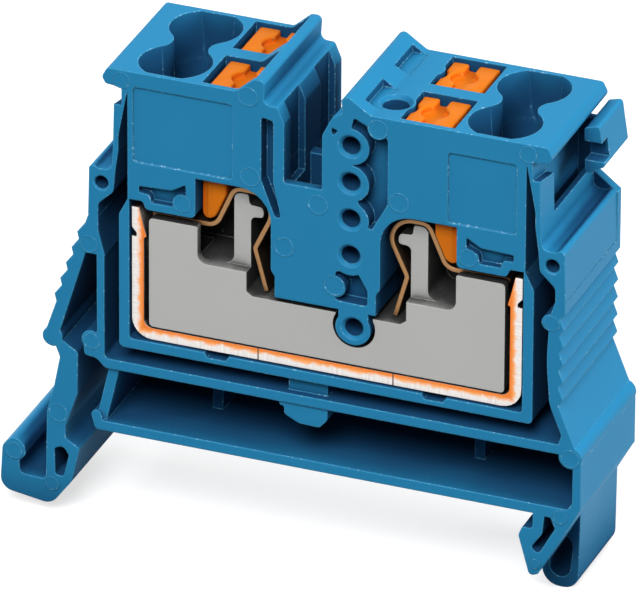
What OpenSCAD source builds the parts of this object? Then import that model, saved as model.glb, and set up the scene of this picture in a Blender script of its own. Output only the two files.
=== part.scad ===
// Feed-through terminal block: a moulded housing, open on one face, holding a spring carrier,
// a U-shaped current bar, four clamp springs and four push buttons.
// X runs across the mounting seat, Y along it with the open face at -Y, and Z up from the seat.
// Outlines of the two mirrored clamps are written as [reach, height], where reach is the distance
// from the middle plane between them.

/* [Mounting seat] */
// Width of the mounting seat
mount_w = 35; // [33:0.5:38]
// Height of the two slots at the ends of the seat
mount_lip = 1.25; // [1:0.05:1.6]
// How far the foot and the hook reach under the seat
mount_grip = 1; // [0.7:0.05:1.3]
// Depth of the left foot below the seat
foot_drop = 6.7; // [6:0.05:8]
// Depth of the lug beside the hook below the seat
lug_drop = 7.45; // [6.8:0.05:8.5]

/* [Housing] */
// Distance from the seat's middle to the middle plane between the clamps
mid_x = 2.05; // [1.5:0.05:2.6]
// Thickness of the trough, the beams and the side walls
wall = 0.75; // [0.6:0.05:0.9]
// Thickness of the closed back
back_wall = 0.7; // [0.5:0.05:0.9]
// Thickness of the skin in front of the button slots
skin = 0.395; // [0.3:0.005:0.8]
// Clear height between the two beams
beam_gap = 4.25; // [4.1:0.05:6]
// Gap between the upper beam and the trough
trough_gap = 1.2; // [0.8:0.05:2]
// Gap between the trough and the side walls
side_gap = 1.58; // [1.3:0.02:2.2]
// Height of the upper blocks, from their underside to the top plane
block_h = 7.4; // [7:0.1:9]
// Overhang of the top plane past the sides of the blocks
beak = 1.87; // [1.5:0.01:2.2]
// Height of the two ridges above the top plane
ridge_h = 1.15; // [0.6:0.05:1.5]
// Depth of the shallow fields and of other flat recesses in the open face
field_depth = 0.12; // [0.05:0.01:0.2]
// Depth of the pockets in the open face
pocket_depth = 1.1; // [0.5:0.05:1.2]
// Height of the finger teeth on the side walls
tooth_h = 0.32; // [0.15:0.01:0.4]
// Pitch of the finger teeth
tooth_pitch = 1.37; // [1.1:0.01:1.5]

/* [Bridge shaft] */
// Distance from the seat's middle to the shaft's middle
shaft_x = 0.36; // [0.2:0.005:0.5]
// Width of the shaft
shaft_w = 2.82; // [2.6:0.01:3.1]
// Depth of the shaft below the top plane
shaft_depth = 6.45; // [4:0.05:7]
// Depth of the grooves in the shaft's wall
groove_depth = 0.5; // [0.2:0.05:0.5]
// Radius of the coding holes in the pillar beside the shaft
pin_hole_r = 0.68; // [0.4:0.02:0.8]
// Pitch of the coding holes
pin_hole_pitch = 2.83; // [2.4:0.01:3]
// Radius of the test plug hole
test_r = 0.95; // [0.7:0.05:1]

/* [Wire entry] */
// Distance between the front and the rear row
row_pitch = 5.66; // [5.5:0.02:6.6]
// Radius of a funnel at the top plane
funnel_r = 2.6; // [2.2:0.05:2.7]
// Radius of the wire bore under a funnel
wire_r = 1.5; // [1.1:0.05:1.7]
// Width of the neck that joins the two funnels of a pair
neck_w = 2.76; // [1.8:0.02:3.2]

/* [Current bar] */
// Thickness of the bar
bar_t = 0.88; // [0.6:0.02:1.1]
// Height of the bar's uprights
bar_h = 10.2; // [9.4:0.1:10.6]
// Outer bend radius of the bar
bar_bend = 1.5; // [0.5:0.05:1.8]

/* [Carrier] */
// Height of the carrier's middle
carrier_h = 3.85; // [3:0.05:5]
// Height of the steps that the posts stand on, above the carrier's middle
step_h = 1.83; // [1.4:0.01:2.4]
// Height of the outer plates above the steps
plate_h = 2.82; // [2.4:0.02:3.2]
// Thickness of the outer plates
plate_t = 0.65; // [0.4:0.05:0.7]
// Reach of the posts' inner faces
post_in = 5.95; // [5.8:0.05:6.4]
// Thickness of the posts
post_t = 1.25; // [1:0.05:1.5]
// Height of the posts above the steps
post_h = 5.6; // [5.4:0.01:6.3]
// Distance of the posts and the springs behind the carrier's front
post_set = 0.87; // [0.75:0.01:1.1]

/* [Spring] */
// Thickness of the spring strip
spring_t = 0.34; // [0.2:0.02:0.4]

/* [Button] */
// Length of a button's head along Y
head_l = 4.15; // [3.8:0.05:4.6]
// Height of a button's head
head_h = 2.9; // [2.4:0.05:3.2]
// Reach of the head past the leg, towards the middle
head_lap = 2.3; // [1.9:0.05:2.4]
// Thickness of a button's leg
leg_t = 1.8; // [1.6:0.05:1.9]
// Depth of the button tops below the top plane
button_sink = 0.25; // [0.1:0.05:0.5]
// Depth of the screwdriver channel in a button's top
channel_depth = 0.5; // [0.3:0.05:0.8]
// Travel of a button
travel = 1.5; // [1:0.1:1.7]

/* [Fits] */
// Clearance of a button in its slot
slide_fit = 0.15; // [0.1:0.01:0.2]
// Clearance of the bar in the trough and of the carrier in the bar
seat_fit = 0.14; // [0.05:0.01:0.2]
// Clearance between the springs and what they pass
spring_fit = 0.16; // [0.1:0.01:0.2]
// Distance of the inner pieces behind the open face
inset = 0.2; // [0.1:0.05:0.4]

/* [Hidden] */
$fn = 48;

left = -1;
right = 1;
front_row = -1;
rear_row = 1;
sides = [left, right];
rows = [front_row, rear_row];
cut = 0.1;
arc_steps = 6;
nearly_straight = 89;
edge_r = 0.25;

// Places along Y
depth = row_pitch + head_l + 2 * slide_fit + 2 * skin;
face_y = -depth / 2;
back_y = depth / 2;
floor_y = back_y - back_wall;
inner_y = face_y + inset;
row_y = row_pitch / 2;
spring_w = 2 * (-inner_y - post_set - row_y);
leg_w = 2 * (floor_y - slide_fit - row_y);

// Reach of the clamp's parts, from the middle plane outwards
post_out = post_in + post_t;
leg_in = post_out + 0.55;
leg_out = leg_in + leg_t;
leg_slot_out = leg_out + slide_fit;
leg_neck = leg_out - 0.35;
leg_bevel = [0.45, 0.12];
head_in = leg_in - head_lap;
head_out = leg_neck - 0.25;
slot_in = head_in - slide_fit;
slot_out = leg_neck + slide_fit;
funnel_reach = slot_out + 0.25 + funnel_r;
block_out = funnel_reach + funnel_r - 0.05;
beak_out = block_out + beak;
trough_out = block_out + 0.65;
trough_in = trough_out - wall;
bar_out = trough_in - seat_fit;
bar_in = bar_out - bar_t;
carrier_out = bar_in - 0.4;
plate_in = leg_out + 0.06;
side_in = trough_out + side_gap;
side_out = side_in + wall;
loop_in = post_in - 1.45;
core_half = loop_in - spring_t / 2 - 0.28;
arm_in = loop_in + spring_t / 2 + 0.35;

// Heights above the seat
beam_z = wall + beam_gap;
trough_z = beam_z + wall + trough_gap;
bar_z = trough_z + wall + seat_fit;
carrier_z = bar_z + bar_t + seat_fit;
carrier_top = carrier_z + carrier_h;
step_z = carrier_top + step_h;
plate_z = step_z + plate_h;
post_z = step_z + post_h;
bar_top = bar_z + bar_h;
leg_z = plate_z - spring_t / 2 + 0.06;
loop_z = post_z + 0.1 + spring_t / 2;
arm_z = loop_z - 1.05;
bracket_z = plate_z + 0.72;
bar_room_z = max(bracket_z + 0.6, bar_top + 0.4);
block_z = loop_z + spring_t / 2 + 0.62;
top_z = block_z + block_h;
beak_z = top_z - 1.35;
shoulder_z = bar_room_z + 1.9;
core_z = carrier_top + 0.4;
button_top = top_z - button_sink;
button_tip = leg_z + spring_t / 2 + 2.5 * spring_fit;
head_z = button_top - head_h;
ledge_z = head_z - travel - 0.1;
shaft_z = top_z - shaft_depth;
ridge_z = top_z + ridge_h;

// Edges of the bridge shaft and of the seat
shaft_l = shaft_x - shaft_w / 2;
shaft_r = shaft_x + shaft_w / 2;
mount_l = -mount_w / 2;
mount_r = mount_w / 2;

// Pillar beside the shaft: column of coding holes and the pocket next to it
pillar_x = shaft_r + 2.08;
first_hole_z = top_z - 2.69;
hole_count = 4;
test_x = pillar_x + 2.35;
boss_r = 1.3;
boss = [pillar_x + 0.28, core_z - boss_r];
boss_l = pillar_x - 0.8;
boss_w = 2.2;
hole_depth = 7;
hole_bevel = 0.22;

// Round nose that guides a button's head, web between the rows, and notches under the bar
nose_r = 1;
nose_reach = slot_in - 0.75;
web_half = 0.75;
fillet_r = 0.7;
notch_reach = leg_in + 0.35;
bar_ridge = 0.2;

// Side walls: where the teeth start, and the pivots of the foot and of the right shoulder
teeth_z = shoulder_z - 4.95;
teeth_count = 5;
knob = [mount_l - 0.9, beam_z + 1.7];
elbow = [mount_r + 2.8, beam_z - 0.15];
sill_x = mount_r + 3.6;
sill_t = 0.6;
flare_wall = 0.5;
inner_t = 0.55;
strut_foot = [mount_l + 2.6, wall / 2];
strut_head = [mount_l + 3.75, beam_z + wall / 2];
lug_l = mount_r - 0.43;
lug_r = mount_r + 2.37;
lug_depth = 7.4;
rib_reach = carrier_out - 3.4;
tab_l = shaft_x - 1.75;
tab_r = shaft_x + 1.85;
left_field_in = block_out - 7.8;
left_field_rise = 0.45;
right_field_in = block_out - 5.75;
clip_depth = 2.65;

// Unit vector along v
function unit(v) = v / norm(v);

// Points of the arc that rounds the corner b between a and c
function corner(a, b, c, r) =
    let (
        u = unit(a - b),
        v = unit(c - b),
        half = acos(u * v) / 2,
        reach = min(r / tan(half), 0.48 * norm(a - b), 0.48 * norm(c - b)),
        arc_r = reach * tan(half),
        hub = b + unit(u + v) * arc_r / sin(half),
        from = b + u * reach - hub,
        to = b + v * reach - hub,
        start = atan2(from.y, from.x),
        turn = atan2(to.y, to.x) - start,
        sweep = turn - 360 * round(turn / 360)
    )
    r == 0 || half > nearly_straight ? [b] : [
        for (i = [0:arc_steps])
            let (angle = start + sweep * i / arc_steps)
            hub + arc_r * [cos(angle), sin(angle)]
    ];

// Closed outline with rounded corners, from points [x, y] or [x, y, own radius]
function rounded(points, r) = [
    for (i = [0:len(points) - 1])
        let (
            n = len(points),
            a = points[(i + n - 1) % n],
            b = points[i],
            c = points[(i + 1) % n]
        )
        each corner([a.x, a.y], [b.x, b.y], [c.x, c.y], len(b) > 2 ? b[2] : r)
];

// Open path with rounded corners, from points [x, y, radius]
function bent(points) = [
    for (i = [0:len(points) - 1])
        let (b = [points[i].x, points[i].y])
        each (i == 0 || i == len(points) - 1) ? [b] : corner(
            [points[i - 1].x, points[i - 1].y], b,
            [points[i + 1].x, points[i + 1].y], points[i][2])
];

// Outline of a strip of thickness t along a path
function strip(path, t) =
    let (
        n = len(path),
        normals = [
            for (i = [0:n - 1])
                let (d = unit(path[min(i + 1, n - 1)] - path[max(i - 1, 0)]))
                [-d.y, d.x] * t / 2
        ]
    )
    concat([for (i = [0:n - 1]) path[i] + normals[i]], [for (i = [n - 1:-1:0]) path[i] - normals[i]]);

// Outline [reach, height] or [reach, height, radius] placed on one side of the middle plane
function placed(side, points) = [
    for (p = points) concat([mid_x + side * p.x, p.y], len(p) > 2 ? [p[2]] : [])
];

// Points in the opposite order
function backwards(points) = [for (i = [len(points) - 1:-1:0]) points[i]];

// Outline of half a piece, closed with its mirror image
function both_sides(points) = concat(placed(right, points), placed(left, backwards(points)));

// Place along X of a reach on one side
function at(side, reach) = mid_x + side * reach;

// Extrudes an outline in X and Z from y0 to y1
module along_y(y0, y1)
    translate([0, y1, 0]) rotate([90, 0, 0]) linear_extrude(y1 - y0) children();

// Bar with round ends between two points
module link(a, b, t) {
    translate(a) circle(d = t);
    translate(b) circle(d = t);
    translate(a)
        rotate(atan2(b.y - a.y, b.x - a.x))
            translate([0, -t / 2]) square([norm(b - a), t]);
}

// Chain of such bars
module chain(points, t)
    for (i = [0:len(points) - 2]) link(points[i], points[i + 1], t);

// Box in the clamp's own reach, on one side
module reach_box(side, from, to, y0, y1, z0, z1)
    translate([min(at(side, from), at(side, to)), y0, z0]) cube([to - from, y1 - y0, z1 - z0]);

// Cylinder along Y that starts at the open face
module face_bore(x, z, r, length)
    translate([x, face_y - cut, z]) rotate([-90, 0, 0]) cylinder(r = r, h = length + cut);

// Round hole in the open face, with a bevelled mouth
module face_hole(x, z, r, length, bevel) {
    face_bore(x, z, r, length);
    translate([x, face_y - cut, z])
        rotate([-90, 0, 0]) cylinder(r1 = r + bevel + cut, r2 = r, h = bevel + cut);
}

// Lower edge of one upper block, from the middle plane to its outer side
function block_underside() = concat(
    [
        [core_half - 0.3, core_z],
        [core_half - 0.3, core_z + 1.6],
        [core_half, core_z + 2.1]
    ],
    [
        for (i = [0:arc_steps])
            let (
                angle = 180 - 90 * i / arc_steps,
                r = block_z - loop_z + 1.6
            )
            [core_half + r, block_z - r] + r * [cos(angle), sin(angle)]
    ],
    [
        [leg_slot_out, block_z],
        [leg_slot_out, bracket_z, 0.4],
        [carrier_out + 0.15, bracket_z, 0.3],
        [carrier_out + 0.4, bar_room_z, edge_r],
        [block_out, bar_room_z]
    ]);

// Outer side of one upper block, up to the top plane
function block_side() = [
    [block_out, beak_z, 0.4],
    [beak_out - 0.25, beak_z + 0.1, 0.3],
    [beak_out + 0.05, beak_z + 0.6, 0.4],
    [beak_out - 0.35, top_z, 0.35]
];

// Top edge between the blocks, from right to left: ridge, pillar, bridge shaft, shelf, ridge
function block_top() = [
    [shaft_r + 3.55, top_z, 0.5],
    [shaft_r + 1.85, ridge_z, 0.6],
    [shaft_r + 1.4, ridge_z - 0.3, 0.3],
    [shaft_r + 1.5, top_z - 0.2, edge_r],
    [shaft_r + 0.7, top_z - 0.75, 0.5],
    [shaft_r, top_z - 2.2, 0.6],
    [shaft_r, shaft_z, 0.15],
    [shaft_l, shaft_z, 0.15],
    [shaft_l, top_z - 1.9, 0.4],
    [shaft_l - groove_depth, top_z - 0.7, 0.3],
    [shaft_l - 1.55, top_z - 0.7, 0.5],
    [shaft_l - 1.45, ridge_z, 0.4],
    [shaft_l - 2.25, ridge_z, 0.4],
    [shaft_l - 3.55, top_z, 0.5]
];

// Both upper blocks, the pillar and the core between the clamps
module blocks_outline()
    polygon(rounded(concat(
        placed(right, block_underside()),
        placed(right, block_side()),
        block_top(),
        placed(left, backwards(block_side())),
        placed(left, backwards(block_underside()))), 0));

// Boss under the core that the carrier's notch goes round
module boss_outline() {
    translate(boss) circle(r = boss_r);
    translate([boss_l, boss.y]) square([boss_w, boss_r + cut]);
}

// Trough for the current bar: a floor and two uprights that flare into the blocks
module trough_outline()
    polygon(both_sides(rounded([
        [0, trough_z],
        [trough_out, trough_z, 0.35],
        [trough_out, bar_room_z - 1.3, 0.5],
        [block_out, bar_room_z],
        [trough_in, bar_room_z],
        [trough_in, trough_z + wall, edge_r],
        [0, trough_z + wall]
    ], 0)));

// Upper end of one side wall: stub under the clip, label groove, socket boss
module shoulder_outline(side)
    polygon(placed(side, rounded([
        [side_out - 2.28, shoulder_z + 1.75, 0],
        [side_out - 1.88, shoulder_z + 1.75, 0],
        [side_out - 1.78, shoulder_z + 0.05, 0.7],
        [side_out - 0.7, shoulder_z + 0.05, 0.5],
        [side_out - 0.45, shoulder_z + 0.28],
        [side_out - 0.09, shoulder_z + 0.1],
        [side_out, teeth_z + 1.1],
        [side_in, teeth_z + 1.1],
        [side_in, shoulder_z - 2.7, 0.6],
        [side_out - 1.9, shoulder_z - 1.6, 0.5],
        [side_out - 2.04, shoulder_z]
    ], edge_r)));

// Triangular teeth on the outer face from a to b
module teeth_outline(side, a, b) {
    run = unit(b - a);
    out = side * [-run.y, run.x];
    for (i = [0:teeth_count - 1]) {
        top = a + run * i * tooth_pitch;
        polygon([
            top - out * cut,
            top,
            top + run * tooth_pitch * 0.62 + out * tooth_h,
            top + run * tooth_pitch,
            top + run * tooth_pitch - out * cut
        ]);
    }
}

// Left side wall below the shoulder: a toothed wall that leans out to the foot, and an inner wall
module left_wall_outline() {
    top_x = at(left, side_out);
    polygon([
        [top_x, teeth_z + 1.2],
        [knob.x - 0.45, knob.y + 0.6],
        [knob.x + 0.45, knob.y + 0.2],
        [top_x - 0.2, teeth_z - 1.8],
        [top_x + 1.25, teeth_z - 1.8],
        [at(left, side_in), teeth_z + 0.1],
        [at(left, side_in), teeth_z + 1.2]
    ]);
    lean = unit([knob.x - 0.45, knob.y + 0.6] - [top_x, teeth_z + 1.2]);
    start = [top_x, teeth_z + 1.2] + lean * 0.8;
    teeth_outline(left, start, start + lean);
    inner_l = top_x + 0.65;
    inner_r = inner_l + inner_t;
    polygon(rounded([
        [inner_l, teeth_z - 1.7, 0],
        [inner_r, teeth_z - 1.7, 0],
        [inner_r, beam_z + wall, 1.4],
        [strut_head.x, beam_z + wall, 0],
        [strut_head.x, beam_z, 0],
        [inner_r + 0.05, beam_z, 0.4],
        [inner_r - 0.6, beam_z + 0.65, 0.6],
        [inner_l - 0.95, beam_z + 0.75],
        [inner_l - 1.05, beam_z + 1.8, 0],
        [inner_l, beam_z + 2.7]
    ], edge_r));
    translate([top_x + 0.2, beam_z + 2]) circle(r = 0.72);
    translate(knob) circle(r = 0.75);
}

// Right side wall below the shoulder: teeth, then a flare out to the elbow
module right_wall_outline() {
    top_x = at(right, side_out);
    root_x = top_x - 0.42;
    inner_x = root_x - wall + 0.05;
    bend_z = teeth_z - teeth_count * tooth_pitch;
    // Inner corner of the flare, kept off its outer side when a wider seat makes the flare lean more
    corner_z = elbow.y + 1.65;
    sill_top = elbow.y - 0.4;
    flare_x = sill_x - (sill_x - root_x) * (corner_z - sill_top) / (bend_z - sill_top);
    corner_x = min(elbow.x - 0.68, flare_x - flare_wall);
    polygon(rounded([
        [top_x, teeth_z + 1.2],
        [at(right, side_in), teeth_z + 1.2],
        [inner_x, teeth_z],
        [inner_x - 0.22, (teeth_z + bend_z) / 2, 20],
        [inner_x + 0.05, bend_z, 3],
        [corner_x, corner_z, 0.3],
        [elbow.x - 0.95, elbow.y + 0.8],
        [elbow.x, elbow.y],
        [sill_x, sill_top],
        [root_x, bend_z],
        [root_x, teeth_z],
        [top_x, teeth_z + 0.3]
    ], 0));
    teeth_outline(right, [root_x, teeth_z], [root_x, teeth_z - 1]);
    translate([inner_x + 0.05, teeth_z - 0.5]) circle(r = 0.65);
    translate(elbow) circle(r = 0.85);
    polygon([
        [sill_x - sill_t, elbow.y],
        [sill_x, elbow.y - 0.4],
        [sill_x, wall + 0.1],
        [sill_x - 1.2, 0],
        [sill_x - 1.5, wall],
        [sill_x - sill_t - 0.35, wall],
        [sill_x - sill_t, wall + 0.55]
    ]);
}

// Two beams over the seat
module beams_outline() {
    translate([strut_head.x, beam_z]) square([elbow.x - strut_head.x, wall]);
    chain([strut_foot + [-0.2, 0.75], strut_foot], wall);
    translate([strut_foot.x, 0]) square([sill_x - 1.2 - strut_foot.x, wall]);
}

// Stop tab under the upper beam
module tab_outline()
    polygon(rounded([
        [tab_l, beam_z + cut, 0],
        [tab_l, beam_z - 0.35],
        [tab_l + 0.35, beam_z - 0.4, 0.1],
        [tab_l + 0.4, beam_z - 1],
        [tab_l + 1.5, beam_z - 1.55, 0.5],
        [tab_r - 0.6, beam_z - 1.6, 0.5],
        [tab_r, beam_z - 0.9, 0.4],
        [tab_r, beam_z + cut, 0]
    ], edge_r));

// Left leg and foot: the nose under the seat, the round grip and the slot for a screwdriver
module foot_outline()
    difference() {
        polygon(rounded([
            [knob.x + 0.1, knob.y - 0.3, 0],
            [knob.x + 0.55, beam_z + 0.2],
            [knob.x + 0.1, beam_z - 2.2, 1],
            [mount_l - 1.35, 0.7, 1],
            [mount_l - 1.45, 1.9 - foot_drop, 0.35],
            [mount_l - 3.45, 2 - foot_drop, 0.45],
            [mount_l - 3.5, 3 - foot_drop, 0.3],
            [mount_l - 3, 3.5 - foot_drop, 0.4],
            [mount_l - 3.1, 4.3 - foot_drop, 0.5],
            [mount_l - 3.9, 4.9 - foot_drop, 0.6],
            [mount_l - 4.75, 4.05 - foot_drop, 0.7],
            [mount_l - 4.95, 0.6 - foot_drop, 1],
            [mount_l - 1.05, -foot_drop, 1.1],
            [mount_l + 0.5, 2.1 - foot_drop, 1],
            [mount_l + mount_grip + 0.1, -mount_lip - 0.6, 0.3],
            [mount_l + 0.05, -mount_lip],
            [mount_l, -0.35],
            [mount_l + 0.95, beam_z - 2.5, 0.6],
            [mount_l + 1, beam_z + 0.8, 0.3],
            [knob.x + 0.6, knob.y - 0.1, 0]
        ], edge_r));
        polygon(rounded([
            [mount_l - 0.8, -mount_lip - 0.9],
            [mount_l - 0.1, -mount_lip - 0.6, 0.5],
            [mount_l + 0.3, -mount_lip - 1.3],
            [mount_l - 0.1, 2.4 - foot_drop],
            [mount_l - 0.75, 2.4 - foot_drop]
        ], edge_r));
    }

// Right hook under the seat, with the slot that lets it give
module hook_outline()
    difference() {
        polygon(rounded([
            [mount_r + 0.1, wall, 0],
            [mount_r + 0.1, -mount_lip],
            [mount_r + 0.3 - mount_grip, -mount_lip],
            [mount_r + 0.05 - mount_grip, -mount_lip - 0.7],
            [mount_r - 0.1, -mount_lip - 3.75, 0.35],
            [mount_r + 0.55, -mount_lip - 3.5, 0.4],
            [sill_x, wall + 0.15],
            [sill_x - 0.6, wall, 0]
        ], edge_r));
        polygon(rounded([
            [mount_r + 0.95, -0.1],
            [mount_r + 1.4, -0.1],
            [mount_r + 1.75, -0.95],
            [mount_r + 0.55, -mount_lip - 1.95, 0.3],
            [mount_r - 0.05, -mount_lip - 1.5, 0.3],
            [mount_r + 0.8, -mount_lip - 0.3, 0.4]
        ], edge_r / 2));
    }

// Lug behind the hook, with its long slot
module lug_outline()
    difference() {
        polygon(rounded([
            [lug_l, -mount_lip - 0.65, 0],
            [lug_l, -lug_drop, 1.3],
            [lug_r - 0.1, -lug_drop, 1.1],
            [lug_r, wall, 0],
            [mount_r + 0.1, wall, 0],
            [mount_r + 0.1, -mount_lip - 0.65, 0]
        ], edge_r));
        chain([[lug_l + 1.33, 1.55 - lug_drop], [lug_l + 1.48, -mount_lip - 2.85]], 1.55);
    }

// Outline of the closed back
module back_outline() {
    blocks_outline();
    boss_outline();
    polygon([
        strut_foot,
        strut_head,
        [at(left, side_out) + 0.3, beam_z + 1.5],
        knob,
        [at(left, side_out), teeth_z + 1.2],
        [at(left, side_out), shoulder_z],
        [at(left, side_out - 2.2), shoulder_z + 1.7],
        [at(left, block_out - 1), shoulder_z + 1.7],
        [at(right, block_out - 1), shoulder_z + 1.7],
        [at(right, side_out - 2.2), shoulder_z + 1.7],
        [at(right, side_out), shoulder_z],
        [at(right, side_out), teeth_z + 1.2],
        [at(right, side_out) - 0.5, teeth_z],
        [at(right, side_out) - 0.5, teeth_z - teeth_count * tooth_pitch],
        [sill_x - 0.1, elbow.y - 0.4],
        [sill_x - 0.1, wall + 0.1],
        [sill_x - 1.2, 0]
    ]);
}

// Marker clip at one side: the front wall that hangs from the beak
module clip_front_outline(side)
    polygon(placed(side, [
        [block_out - 0.2, beak_z + 0.3],
        [side_out - 2, beak_z + 0.3],
        [side_out - 1.88, shoulder_z + 1.75 - cut],
        [side_out - 2.28, shoulder_z + 1.75 - cut],
        [side_out - 2.28, beak_z - 3.8],
        [block_out + 0.05, beak_z - 0.35],
        [block_out - 0.2, beak_z - 0.35]
    ]));

// Gap cut out of the top of a front clip, under the beak
module clip_notch(side)
    translate([at(side, block_out + 0.45), 0, 0])
        rotate([90, 0, 90])
            translate([0, 0, side == left ? -1 : 0])
                linear_extrude(1)
                    polygon([
                        [face_y - cut, beak_z - 1.35],
                        [face_y + clip_depth + cut, beak_z - 1.9],
                        [face_y + clip_depth + cut, beak_z],
                        [face_y - cut, beak_z]
                    ]);

// Ear of the back at the right, which carries the rear marker clip
module ear_outline()
    polygon(placed(right, rounded([
        [block_out - 0.5, shoulder_z + 1.2, 0],
        [side_out - 1.9, shoulder_z + 1.2],
        [side_out - 1, beak_z - 3.6],
        [side_out + 0.45, beak_z - 2.75],
        [side_out, beak_z + 0.3],
        [side_out - 1.1, beak_z],
        [side_out - 1.05, beak_z - 0.8],
        [side_out - 1.35, beak_z - 1.3],
        [block_out - 0.5, beak_z - 1.3, 0]
    ], edge_r)));

// Rear marker clip at the right
module clip_rear_outline()
    polygon(placed(right, rounded([
        [side_out - 1, beak_z - 3.6],
        [side_out + 0.45, beak_z - 2.75],
        [side_out, beak_z + 0.3],
        [side_out - 1.1, beak_z]
    ], edge_r)));

// Everything of the housing before its pockets are cut
module housing_mass() {
    along_y(face_y, back_y) {
        blocks_outline();
        boss_outline();
        trough_outline();
        left_wall_outline();
        right_wall_outline();
        beams_outline();
        foot_outline();
        hook_outline();
        for (side = sides) shoulder_outline(side);
    }
    along_y(floor_y, back_y) {
        back_outline();
        ear_outline();
    }
    along_y(face_y + 0.3, back_y) link(strut_foot, strut_head, wall);
    along_y(back_y - lug_depth, back_y) lug_outline();
    along_y(-web_half, back_y)
        for (side = sides)
            translate([at(side, rib_reach) - wall / 2, wall - cut]) square([wall, beam_gap + 2 * cut]);
    translate([shaft_r - 0.85, -0.4, shaft_z - cut]) cube([0.85 + cut, 0.8, 2.65 + cut]);
    for (side = sides)
        difference() {
            along_y(face_y, face_y + clip_depth) clip_front_outline(side);
            clip_notch(side);
        }
    along_y(face_y + 0.15, back_y) tab_outline();
    translate([shaft_l + 0.2, face_y + 0.6, beam_z + wall - cut])
        cube([shaft_w + 0.1, depth - 0.6, trough_gap + 2 * cut]);
    difference() {
        along_y(back_y - 4.6, back_y) clip_rear_outline();
        reach_box(right, side_out - 2, side_out + 1, back_y - 5, back_y - 3.5,
            beak_z - 2.45, beak_z - 1);
    }
}

// Pair of wire funnels: two cones on the wire bores, joined by a neck with round noses
module funnels(side) {
    half_neck = neck_w / 2;
    nose_r = (pow(row_y, 2) + pow(half_neck, 2) - pow(funnel_r, 2)) / (2 * (funnel_r - half_neck));
    nose_x = half_neck + nose_r;
    nose_y = row_y * nose_r / (funnel_r + nose_r);
    rim = skin - 0.05;
    cone_z = block_z + 1.3;
    throat_z = top_z - 3.6;
    throat_r = funnel_r - 0.15;
    flare = (funnel_r - throat_r) / (top_z - throat_z);
    intersection() {
        union()
            for (row = rows) translate([at(side, funnel_reach), row * row_y, 0]) {
                translate([0, 0, bracket_z - 1]) cylinder(r = wire_r, h = throat_z - bracket_z);
                translate([0, 0, cone_z]) cylinder(r1 = wire_r, r2 = throat_r, h = throat_z - cone_z);
                translate([0, 0, throat_z])
                    cylinder(r1 = throat_r, r2 = funnel_r + flare * cut, h = top_z + cut - throat_z);
            }
        translate([at(side, funnel_reach - 2 * funnel_r), face_y + rim, bracket_z - 2])
            mirror([side == left ? 1 : 0, 0, 0])
                cube([4 * funnel_r, depth - 2 * rim, top_z - bracket_z + 3]);
    }
    translate([at(side, funnel_reach), 0, block_z + 2.5]) linear_extrude(block_h)
        difference() {
            square([2 * nose_x, 2 * nose_y], center = true);
            for (end = sides) translate([end * nose_x, 0]) circle(r = nose_r);
        }
}

// Slot of one button: a shaft for the head with a guiding nose, and a narrower one for the leg
module button_slot(side, row) {
    half = head_l / 2 + slide_fit;
    difference() {
        reach_box(side, slot_in, slot_out, row * row_y - half, row * row_y + half,
            ledge_z, ridge_z + 1);
        translate([at(side, nose_reach), row * row_y, ledge_z - cut])
            cylinder(r = nose_r, h = top_z - ledge_z + cut);
    }
    reach_box(side, leg_in - slide_fit, leg_slot_out,
        row * row_y - leg_w / 2 - slide_fit, row * row_y + leg_w / 2 + slide_fit,
        block_z - 1, ledge_z + cut);
}

// Flat recess under one block, shaped like a bow tie
module bow_tie_outline(side)
    polygon(placed(side, rounded([
        [block_out - 0.85, bracket_z + 1.25, 0.1],
        [block_out - 1.6, bracket_z + 1.2],
        [block_out - 1.8, bracket_z + 0.6, 0.05],
        [block_out - 3.35, bracket_z + 0.6, 0.05],
        [block_out - 3.5, bracket_z + 1.3],
        [block_out - 4.35, bracket_z + 1.65, 0.1],
        [block_out - 4.35, bracket_z + 2.5, 0.1],
        [block_out - 3.3, bracket_z + 1.85, 0.8],
        [block_out - 0.85, bracket_z + 1.75, 0.1]
    ], edge_r)));

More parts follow.
